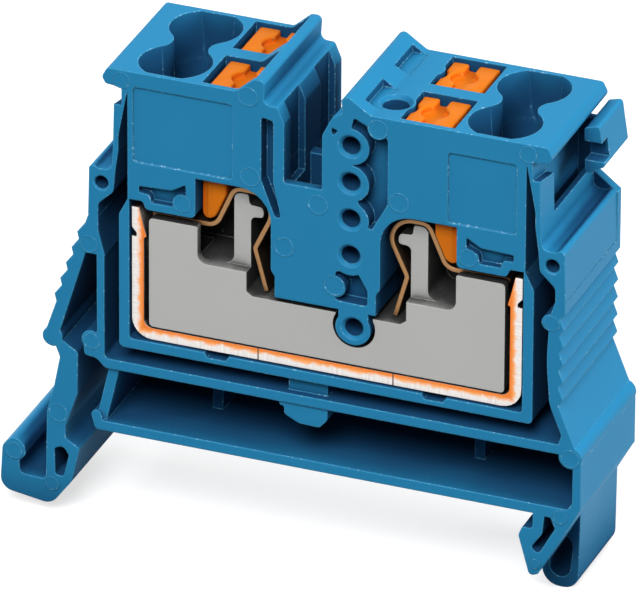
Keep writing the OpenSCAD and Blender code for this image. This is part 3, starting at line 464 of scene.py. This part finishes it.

# %% [markdown]
# ## Current bar
# The bar is copper strip that was tinned before it was stamped, so its faces are white tin. On the cut
# edge that faces us the punch dragged the tin part of the way over, and copper shines through along the
# inner side. A second material would need a border between faces, and there is none, so one material finds
# the copper: how deep a point lies behind the bar's inner side is a short sum of its coordinates. The same
# sums tell the bar's floor from its uprights, so that the fine lines of the cut run straight across its
# thickness everywhere. In the narrow gaps round it the colour is painted nearly black, a painted shade for
# the dark walls that the metal mirrors there.

# %% Colours and places on the bar
SEAMS = (-3.0, 7.06)                          # where the bar was cut off its strip, along x
SEAM_WIDTH = (0.07 * MM, 0.03 * MM)           # half of a seam where it starts, and is full
SEAM_TONE = (0.12, 0.07, 0.05)
CUT_FACING = 0.7                              # how far a face of the cut looks along the block
LINE_SCALE, TEAR_SCALE = 5000, 1500           # cells of the noise to a metre
NOISE_MIDDLE = 0.5
TIN_DULL, TIN_BRIGHT = (0.68, 0.62, 0.59), (0.92, 0.89, 0.87)
COPPER_BRIGHT, COPPER_DEEP = (0.93, 0.40, 0.12), (0.78, 0.19, 0.015)
COPPER_DEPTH = (0.45 * MM, 0.0)
BARE_DEPTH, TEAR_DEPTH = (0.56 * MM, 0.2 * MM), 0.8 * MM
GAP_OPEN, GAP_REACH, GAP_SHADE = (0.7, 0.3), 4 * MM, (0.015, 0.012, 0.01)
BAR_METALLIC, BAR_ROUGH = 0.35, (0.35, 0.6)
BAR_EDGE = 0.06 * MM
SCORE_STRENGTH, SCORE_DEPTH = 0.3, 0.03 * MM
print("seams of the bar at x =", SEAMS)

# %% Tinned copper finish
def facing_along(tree):
    """How far a face looks along the block, from 0 to 1."""
    axes = node(tree, "ShaderNodeSeparateXYZ", {0: face_normal(tree)})
    return sum_of(tree, "ABSOLUTE", axes.outputs["Y"])

def tinned_copper(name):
    material, tree, shader, place = new_finish(name)
    axes = node(tree, "ShaderNodeSeparateXYZ", {0: place}).outputs
    reach = sum_of(tree, "ABSOLUTE", sum_of(tree, "SUBTRACT", axes["X"], MIDDLE_X * MM))
    in_upright = sum_of(tree, "SUBTRACT", reach, (BAR_REACH - BAR_THICK) * MM)
    in_floor = sum_of(tree, "SUBTRACT", (BAR_Z + BAR_THICK) * MM, axes["Z"])
    depth = sum_of(tree, "MAXIMUM", in_upright, in_floor)
    on_floor = sum_of(tree, "GREATER_THAN", in_floor, in_upright)
    cut_face = sum_of(tree, "GREATER_THAN", facing_along(tree), CUT_FACING)

    along = node(tree, "ShaderNodeMix", {0: on_floor, 2: axes["Z"], 3: axes["X"]}, data_type="FLOAT")
    sizes = {"Scale": LINE_SCALE, "Detail": 3, "W": along.outputs[0]}
    lines = node(tree, "ShaderNodeTexNoise", sizes, noise_dimensions="1D").outputs["Fac"]
    ragged = noise(tree, place, TEAR_SCALE, detail=5)

    tin = blended(tree, lines, TIN_DULL, TIN_BRIGHT)
    copper = blended(tree, ramp(tree, depth, *COPPER_DEPTH), COPPER_BRIGHT, COPPER_DEEP)
    torn = sum_of(tree, "MULTIPLY_ADD", sum_of(tree, "SUBTRACT", ragged, NOISE_MIDDLE), TEAR_DEPTH, depth)
    bare = sum_of(tree, "MULTIPLY", ramp(tree, torn, *BARE_DEPTH), cut_face)
    colour = blended(tree, bare, tin, copper)
    for x in SEAMS:
        off = sum_of(tree, "ABSOLUTE", sum_of(tree, "SUBTRACT", axes["X"], x * MM))
        on_seam = sum_of(tree, "MULTIPLY", ramp(tree, off, *SEAM_WIDTH), on_floor)
        colour = blended(tree, on_seam, colour, SEAM_TONE)
    # Painted shade: the colour goes nearly black in the narrow gaps round the bar.
    colour = blended(tree, ramp(tree, openness(tree, GAP_REACH), *GAP_OPEN), colour, GAP_SHADE)
    tree.links.new(colour, shader.inputs["Base Color"])

    shader.inputs["Metallic"].default_value = BAR_METALLIC
    rough = ramp(tree, ragged, 0, 1, *BAR_ROUGH, kind="LINEAR")
    tree.links.new(rough, shader.inputs["Roughness"])
    scored = bumped(tree, lines, SCORE_STRENGTH, SCORE_DEPTH, edge_normal(tree, BAR_EDGE))
    tree.links.new(scored, shader.inputs["Normal"])
    return material

bar_metal = tinned_copper("tin_over_copper")
dress("current_bar", bar_metal)
print("bar finish:", bar_metal.name)

# %% [markdown]
# ## Spring strip
# The clamp springs are hardened strip. Its broad faces are painted dark, a painted shade and reflection of
# the dark hollows round them, and show the fine lines of the rolling; the slit edges, which face us, are
# bright bronze. Two materials could do this, but the sign of an edge is that it faces along the block, so the
# face's own normal tells the two apart in one.

# %% Spring finish
ROLLED_SCALE, ROLLED_STRETCH = 1800, (0.15, 6, 0.15)
BRONZE_DULL, BRONZE_BRIGHT = (0.27, 0.13, 0.046), (0.42, 0.225, 0.09)
BROAD_FACE_SHADE = (0.075, 0.045, 0.022)
SLIT_FACING = (0.25, 0.7)                     # how far a slit edge looks along the block
HIDDEN_OPEN, HIDDEN_REACH, HIDDEN_SHADE = (0.5, 0.2), 3 * MM, (0.02, 0.014, 0.01)
STRIP_METALLIC, STRIP_ROUGH = 0.45, (0.3, 0.5)

def rolled_strip(name):
    material, tree, shader, place = new_finish(name)
    stretch = node(tree, "ShaderNodeMapping", {"Scale": ROLLED_STRETCH, "Vector": place})
    lines = noise(tree, stretch.outputs["Vector"], ROLLED_SCALE, detail=3)
    bronze = blended(tree, lines, BRONZE_DULL, BRONZE_BRIGHT)
    # Painted shade: the broad faces are painted dark, and only the slit edges show the bronze.
    slit_edge = ramp(tree, facing_along(tree), *SLIT_FACING, kind="LINEAR")
    toned = blended(tree, slit_edge, BROAD_FACE_SHADE, bronze)
    # Painted shade: where the strip runs deep into the hollows its colour goes nearly black.
    hidden = ramp(tree, openness(tree, HIDDEN_REACH), *HIDDEN_OPEN)
    tree.links.new(blended(tree, hidden, toned, HIDDEN_SHADE), shader.inputs["Base Color"])
    shader.inputs["Metallic"].default_value = STRIP_METALLIC
    rough = ramp(tree, lines, 0, 1, *STRIP_ROUGH, kind="LINEAR")
    tree.links.new(rough, shader.inputs["Roughness"])
    return material

spring_metal = rolled_strip("rolled_strip")
print("spring finish:", spring_metal.name)

# %% [markdown]
# ## Path of a spring
# Seen from the open face, a spring starts at the current bar, runs under the button's legs, climbs, loops
# round a post of the housing and ends in a foot that leans on the carrier. The path is written once, as
# distance from the middle plane and height, and mirrored for the other clamp. It could be drawn as a Bezier
# curve, but strip is bent on a tool: a bend between two straights is an arc that touches both, so it takes
# only the corner and a radius.

# %% Path of a spring
LEG_END = Vector((13.27, 17.25))
LEG_BEND, LEG_RADIUS = Vector((8.58, 17.25)), 1.0
LOOP_START, START_RADIUS = Vector((7.2, 20.41)), 0.8
LOOP_HUB, LOOP_RADIUS = Vector((6.05, 18.86)), 1.55
FOOT_BEND, FOOT_RADIUS = Vector((5.66, 16.04)), 0.5
FOOT_END = Vector((4.8, 12.87))
BEND_STEPS, LOOP_STEPS = 10, 24

def arc(hub, radius, start, sweep, steps):
    angles = [start + sweep * step / steps for step in range(steps + 1)]
    return [hub + radius * Vector((math.cos(angle), math.sin(angle))) for angle in angles]

def bend(before, corner, after, radius):
    to_before = (before - corner).normalized()
    to_after = (after - corner).normalized()
    half = to_before.angle(to_after) / 2
    set_back = radius / math.tan(half)
    hub = corner + (to_before + to_after).normalized() * radius / math.sin(half)
    first = corner + to_before * set_back - hub
    last = corner + to_after * set_back - hub
    start = math.atan2(first.y, first.x)
    sweep = (math.atan2(last.y, last.x) - start + math.pi) % math.tau - math.pi
    return arc(hub, radius, start, sweep, BEND_STEPS)

def spring_path():
    away = FOOT_BEND - LOOP_HUB
    leaves = math.atan2(away.y, away.x) % math.tau - math.acos(LOOP_RADIUS / away.length)
    loop = arc(LOOP_HUB, LOOP_RADIUS, math.pi / 2, leaves - math.pi / 2, LOOP_STEPS)
    path = [LEG_END]
    path += bend(LEG_END, LEG_BEND, LOOP_START, LEG_RADIUS)
    path += bend(LEG_BEND, LOOP_START, loop[0], START_RADIUS)
    path += loop
    path += bend(loop[-1], FOOT_BEND, FOOT_END, FOOT_RADIUS)
    path.append(FOOT_END)
    return path

print("spring path:", len(spring_path()), "points")

# %% [markdown]
# ## Swept springs
# A strip along a path could be a curve object with a bevel. Geometry Nodes do the same with sizes that have
# names: the path becomes a curve, and a small rectangle with rounded corners is swept along it. In the CAD
# model each spring is a rigid solid, so the swept strip takes its place.

# %% A strip swept along a path
CORNER_STEPS = 3
GROWN_MERGE = 1e-7     # metres

def new_tree(name, sizes, result):
    """A Geometry Nodes tree with named inputs, its input node, and each input's identifier by its name."""
    tree = bpy.data.node_groups.new(name, "GeometryNodeTree")
    inputs = {}
    for label, kind in sizes.items():
        socket = tree.interface.new_socket(label, in_out="INPUT", socket_type="NodeSocket" + kind)
        inputs[label] = socket.identifier
    tree.interface.new_socket(result, in_out="OUTPUT", socket_type="NodeSocketGeometry")
    return tree, node(tree, "NodeGroupInput").outputs, inputs

def end_tree(tree, geometry, finish):
    """Makes instances real, gives them their finish and hands them out."""
    real = node(tree, "GeometryNodeRealizeInstances", {"Geometry": geometry})
    finished = node(tree, "GeometryNodeSetMaterial", {
        "Geometry": real.outputs["Geometry"], "Material": finish})
    node(tree, "NodeGroupOutput", {0: finished.outputs["Geometry"]})

def strip_tree():
    tree, given, inputs = new_tree("strip_along_path", {
        "Path": "Geometry", "Width": "Float", "Thickness": "Float",
        "Edge radius": "Float", "Finish": "Material"}, "Strip")
    line = node(tree, "GeometryNodeMeshToCurve", {"Mesh": given["Path"]})
    section = node(tree, "GeometryNodeCurvePrimitiveQuadrilateral",
                   {"Width": given["Width"], "Height": given["Thickness"]})
    rounded = node(tree, "GeometryNodeFilletCurve", {
        "Curve": section.outputs["Curve"], "Radius": given["Edge radius"],
        "Count": CORNER_STEPS}, mode="POLY")
    swept = node(tree, "GeometryNodeCurveToMesh", {
        "Curve": line.outputs["Curve"], "Profile Curve": rounded.outputs["Curve"], "Fill Caps": True})
    end_tree(tree, swept.outputs["Mesh"], given["Finish"])
    return tree, inputs

def grow(name, mesh, tree, settings):
    """Runs a node tree on a mesh and returns a plain object with the result."""
    seed = placed(name + ".seed", mesh)
    modifier = seed.modifiers.new("grow", "NODES")
    modifier.node_group = tree
    for identifier, value in settings.items():
        modifier[identifier] = value
    grown = evaluated(seed)
    bpy.data.objects.remove(seed)
    shell = bmesh.new()
    shell.from_mesh(grown)
    bmesh.ops.remove_doubles(shell, verts=shell.verts, dist=GROWN_MERGE)
    bmesh.ops.recalc_face_normals(shell, faces=shell.faces)
    shell.to_mesh(grown)
    shell.free()
    grown.name = name
    return placed(name, grown)

strip, strip_inputs = strip_tree()
print("strip tree:", len(strip.nodes), "nodes")

# %% The four springs
SPRING_THICK, SPRING_EDGE = 0.34, 0.06

def swept_spring(solid_name):
    side, row = solid_name.removeprefix("clamp_spring_").split("_")
    way = {"left": -1, "right": 1}[side]
    low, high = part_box(solid_name)
    middle_y = (low.y + high.y) / 2
    points = [Vector(((MIDDLE_X + way * point.x) * MM, middle_y, point.y * MM)) for point in spring_path()]
    mesh = bpy.data.meshes.new(solid_name + ".path")
    mesh.from_pydata(points, [(step, step + 1) for step in range(len(points) - 1)], [])
    piece = grow(f"spring_strip_{side}_{row}", mesh, strip, {
        strip_inputs["Width"]: high.y - low.y,
        strip_inputs["Thickness"]: SPRING_THICK * MM,
        strip_inputs["Edge radius"]: SPRING_EDGE * MM,
        strip_inputs["Finish"]: spring_metal})
    for face in piece.data.polygons:
        face.use_smooth = True
    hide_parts(solid_name)
    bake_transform(piece)
    return piece

springs = [swept_spring(name) for name in sorted(solids) if name.startswith("clamp_spring_")]
print("springs:", {piece.name: len(piece.data.polygons) for piece in springs})

# %% [markdown]
# ## Buttons with soft edges
# A finger or a screwdriver presses on the buttons, so their edges are well rounded, enough to change the
# outline, and the Bevel node of the finish can't do that. The CAD solid has sharp ones. A copy of its mesh
# is cleaned first: its loose triangles are merged and flat areas become single faces again. A Bevel
# modifier then rounds every edge sharper than a limit, and the result takes the solid's place on the same
# body.

# %% Rounded copies of the button solids
BUTTON_MERGE = 2e-6                                        # metres
BUTTON_ROUNDING, ROUNDING_STEPS = 0.16 * MM, 3
FLAT_WITHIN, ROUNDED_FROM, BUTTON_CREASE = 1, 35, 40       # degrees between two faces

def softened(name, piece_name, material):
    mesh, shell = merged_copy(name, BUTTON_MERGE)
    flat = math.radians(FLAT_WITHIN)
    bmesh.ops.dissolve_limit(shell, angle_limit=flat, verts=shell.verts, edges=shell.edges)
    shell.to_mesh(mesh)
    shell.free()
    sharp = placed(piece_name + ".sharp", mesh)
    rounding = sharp.modifiers.new("rounding", "BEVEL")
    rounding.width = BUTTON_ROUNDING
    rounding.segments = ROUNDING_STEPS
    rounding.limit_method = "ANGLE"
    rounding.angle_limit = math.radians(ROUNDED_FROM)
    rounding.use_clamp_overlap = False
    soft = evaluated(sharp)
    bpy.data.objects.remove(sharp)
    soft.name = piece_name
    cover(soft, material)
    soft.set_sharp_from_angle(angle=math.radians(BUTTON_CREASE))
    piece = placed(piece_name, soft)
    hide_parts(name)
    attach(piece, name + "_body")
    return piece

buttons = []
for name in sorted(solids):
    if name.startswith("button_"):
        buttons.append(softened(name, name.replace("button_", "push_button_"), orange_plastic))
print("buttons:", {piece.name: len(piece.data.polygons) for piece in buttons})

# %% [markdown]
# ## Ejector pin marks
# Steel pins push the housing out of its mould, and each leaves a flat round pad with a faint burr on the
# face it pushed; where a pin stood at the side of a hollow, its pad reaches into the hollow. A bump in the
# finish could draw the rings, but not the pads. The marks repeat, so Geometry Nodes put one pad with a ring
# on every point of a list, scaled by the pin's radius, which each point carries as an attribute.

# %% Pads on points
ROUND_STEPS, BURR_STEPS = 40, 6
FACE_FORWARD = (math.pi / 2, 0, 0)     # turns a pad's top towards -y

def mark_tree():
    tree, given, inputs = new_tree("pads_on_points", {
        "Points": "Geometry", "Burr": "Float", "Depth": "Float",
        "Proud": "Float", "Finish": "Material"}, "Marks")
    circle = node(tree, "GeometryNodeCurvePrimitiveCircle", {"Resolution": ROUND_STEPS, "Radius": 1})
    section = node(tree, "GeometryNodeCurvePrimitiveCircle", {
        "Resolution": BURR_STEPS, "Radius": given["Burr"]})
    ring = node(tree, "GeometryNodeCurveToMesh", {
        "Curve": circle.outputs["Curve"], "Profile Curve": section.outputs["Curve"]})
    pad = node(tree, "GeometryNodeMeshCylinder", {
        "Vertices": ROUND_STEPS, "Radius": 1, "Depth": given["Depth"]})
    middle = sum_of(tree, "MULTIPLY_ADD", given["Depth"], -0.5, given["Proud"])
    sunk = node(tree, "ShaderNodeCombineXYZ", {"Z": middle})
    lowered = node(tree, "GeometryNodeTransform", {
        "Geometry": pad.outputs["Mesh"], "Translation": sunk.outputs["Vector"]})
    mark = node(tree, "GeometryNodeJoinGeometry", {"Geometry": ring.outputs["Mesh"]})
    tree.links.new(lowered.outputs["Geometry"], mark.inputs["Geometry"])
    radius = node(tree, "GeometryNodeInputNamedAttribute", {"Name": "radius"}, data_type="FLOAT")
    spread = node(tree, "GeometryNodeInstanceOnPoints", {
        "Points": given["Points"], "Instance": mark.outputs["Geometry"],
        "Rotation": FACE_FORWARD, "Scale": radius.outputs["Attribute"]})
    end_tree(tree, spread.outputs["Instances"], given["Finish"])
    return tree, inputs

pads, pad_inputs = mark_tree()
print("pad tree:", len(pads.nodes), "nodes")

# %% The marks on the open face
# x, z and radius of each pin
PINS = [
    (-13.15, 27.82, 0.62), (-3.73, 28.32, 0.72), (-3.56, 22.14, 0.72), (1.49, 20.94, 0.72),
    (-1.02, 17.18, 0.72), (5.88, 27.61, 0.72), (7.47, 22.27, 0.72), (16.93, 27.82, 0.64),
    (-18.0, 0.7, 0.7), (17.8, -4.0, 0.4), (19.6, 0.05, 0.55),
    (-8.64, 19.06, 0.66), (12.6, 18.98, 0.66), (2.73, 14.9, 0.75),
    (-18.5, -5.05, 0.53), (-21.4, -2.99, 0.65), (-15.63, 14.55, 0.65), (-15.45, 6.9, 0.62),
    (18.82, 15.1, 0.57), (20.31, 4.79, 0.68)]
# in parts of the pin's radius: section of the burr, depth of the pad, and how far it stands proud
BURR = 0.06
PAD_DEPTH = 0.8
PROUD = 0.015

def ejector_marks():
    mesh = bpy.data.meshes.new("pins")
    mesh.from_pydata([(x * MM, FACE_Y * MM, z * MM) for x, z, _ in PINS], [], [])
    radii = mesh.attributes.new("radius", "FLOAT", "POINT")
    radii.data.foreach_set("value", [radius * MM for _, _, radius in PINS])
    piece = grow("ejector_marks", mesh, pads, {
        pad_inputs["Burr"]: BURR,
        pad_inputs["Depth"]: PAD_DEPTH,
        pad_inputs["Proud"]: PROUD,
        pad_inputs["Finish"]: blue_plastic})
    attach(piece, "housing_body")
    return piece

marks = ejector_marks()
print("marks:", len(PINS), "pads,", len(marks.data.polygons), "faces")
